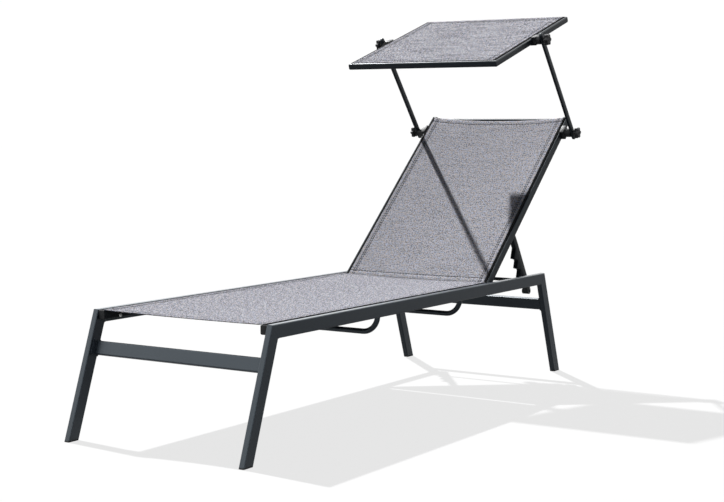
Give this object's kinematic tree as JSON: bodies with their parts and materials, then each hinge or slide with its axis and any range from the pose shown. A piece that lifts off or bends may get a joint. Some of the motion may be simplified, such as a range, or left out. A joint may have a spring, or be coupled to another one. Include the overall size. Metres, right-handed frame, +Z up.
{
  "type": "sun lounger with canopy",
  "caption": "Sling sun lounger with splayed legs, a backrest propped on toothed racks and a tilting fabric canopy on swinging arms.",
  "frame": {"origin": "on the ground, at the centre of the lounger's width and midway between its foot and head ends", "axes": "+X across the width to the sitter's left, +Y along the lounger from the foot end to the head end, +Z up"},
  "size_m": [0.6798, 1.9588, 1.2399],
  "materials": {
    "frame_powder_coat": "satin anthracite powder coat on aluminium tube",
    "canopy_powder_coat": "satin charcoal powder coat on aluminium tube",
    "black_plastic": "fine-grained black plastic moulding",
    "prop_black": "black coated metal",
    "bush_nylon": "grey nylon",
    "bolt_steel": "zinc-plated steel",
    "spline_cord": "black PVC rod",
    "seat_fabric": "heather grey woven sling fabric",
    "backrest_fabric": "heather grey woven sling fabric",
    "canopy_fabric": "heather grey woven sling fabric"
  },
  "bodies": {
    "frame": {"side_rail_left": "frame_powder_coat", "side_rail_right": "frame_powder_coat", "leg_front_left": "frame_powder_coat", "leg_front_right": "frame_powder_coat", "leg_rear_left": "frame_powder_coat", "leg_rear_right": "frame_powder_coat", "foot_front_left": "black_plastic", "foot_front_right": "black_plastic", "foot_rear_left": "black_plastic", "foot_rear_right": "black_plastic", "seat_sling_rail_left": "frame_powder_coat", "seat_sling_rail_right": "frame_powder_coat", "seat_plug_front_left": "black_plastic", "seat_plug_front_right": "black_plastic", "seat_plug_rear_left": "black_plastic", "seat_plug_rear_right": "black_plastic", "seat_sling": "seat_fabric", "seat_spline_left": "spline_cord", "seat_spline_right": "spline_cord", "crossbar_front": "frame_powder_coat", "crossbar_rear": "frame_powder_coat", "spreader_front": "frame_powder_coat", "spreader_rear": "frame_powder_coat", "rest_rod": "prop_black", "pivot_bolt_left": "bolt_steel", "pivot_bolt_right": "bolt_steel", "pivot_bush_left": "bush_nylon", "pivot_bush_right": "bush_nylon"},
    "backrest": {"backrest_rail_left": "frame_powder_coat", "backrest_rail_right": "frame_powder_coat", "backrest_top_tube": "frame_powder_coat", "backrest_bottom_tube": "frame_powder_coat", "backrest_sling": "backrest_fabric", "backrest_spline_left": "spline_cord", "backrest_spline_right": "spline_cord", "backrest_plug_left": "black_plastic", "backrest_plug_right": "black_plastic", "prop_bolt_left": "bolt_steel", "prop_bolt_right": "bolt_steel", "clamp_lower_left": "black_plastic", "clamp_lower_right": "black_plastic"},
    "prop_left": {"prop_rack_left": "prop_black", "prop_bush_left": "bush_nylon"},
    "prop_right": {"prop_rack_right": "prop_black", "prop_bush_right": "bush_nylon"},
    "canopy_arms": {"canopy_arm_left": "canopy_powder_coat", "canopy_arm_right": "canopy_powder_coat"},
    "canopy": {"canopy_front_tube": "canopy_powder_coat", "canopy_rear_tube": "canopy_powder_coat", "canopy_side_tube_left": "canopy_powder_coat", "canopy_side_tube_right": "canopy_powder_coat", "canopy_sling": "canopy_fabric", "canopy_spline": "spline_cord", "clamp_upper_left": "black_plastic", "clamp_upper_right": "black_plastic"},
    "knob_lower_left": {"knob_lower_left": "black_plastic"},
    "knob_lower_right": {"knob_lower_right": "black_plastic"},
    "knob_upper_left": {"knob_upper_left": "black_plastic"},
    "knob_upper_right": {"knob_upper_right": "black_plastic"}
  },
  "joints": [
    {"name": "backrest_recline", "type": "hinge", "parent": "frame", "child": "backrest", "pos_m": [0, 0.37655, 0.3391], "axis": [1, 0, 0], "range_deg": [-40, 0]},
    {"name": "prop_left_fold", "type": "hinge", "parent": "backrest", "child": "prop_left", "pos_m": [0, 0.57612, 0.51799], "axis": [1, 0, 0], "range_deg": [0, 100]},
    {"name": "prop_right_fold", "type": "hinge", "parent": "backrest", "child": "prop_right", "pos_m": [0, 0.57612, 0.51799], "axis": [1, 0, 0], "range_deg": [0, 100]},
    {"name": "canopy_arms_swing", "type": "hinge", "parent": "backrest", "child": "canopy_arms", "pos_m": [0, 0.92227, 0.83296], "axis": [1, 0, 0], "range_deg": [-60, 30]},
    {"name": "canopy_tilt", "type": "hinge", "parent": "canopy_arms", "child": "canopy", "pos_m": [0, 0.67723, 1.14659], "axis": [1, 0, 0], "range_deg": [-75, 60]},
    {"name": "knob_lower_left_turn", "type": "hinge", "parent": "canopy_arms", "child": "knob_lower_left", "pos_m": [-0.33, 0.92227, 0.83296], "axis": [1, 0, 0], "continuous": true},
    {"name": "knob_lower_right_turn", "type": "hinge", "parent": "canopy_arms", "child": "knob_lower_right", "pos_m": [0.33, 0.92227, 0.83296], "axis": [1, 0, 0], "continuous": true},
    {"name": "knob_upper_left_turn", "type": "hinge", "parent": "canopy_arms", "child": "knob_upper_left", "pos_m": [-0.33, 0.67723, 1.14659], "axis": [1, 0, 0], "continuous": true},
    {"name": "knob_upper_right_turn", "type": "hinge", "parent": "canopy_arms", "child": "knob_upper_right", "pos_m": [0.33, 0.67723, 1.14659], "axis": [1, 0, 0], "continuous": true}
  ],
  "couplings": [
    {"joint": "prop_left_fold", "follows": "backrest_recline", "ratio": -2.5},
    {"joint": "prop_right_fold", "follows": "backrest_recline", "ratio": -2.5}
  ]
}
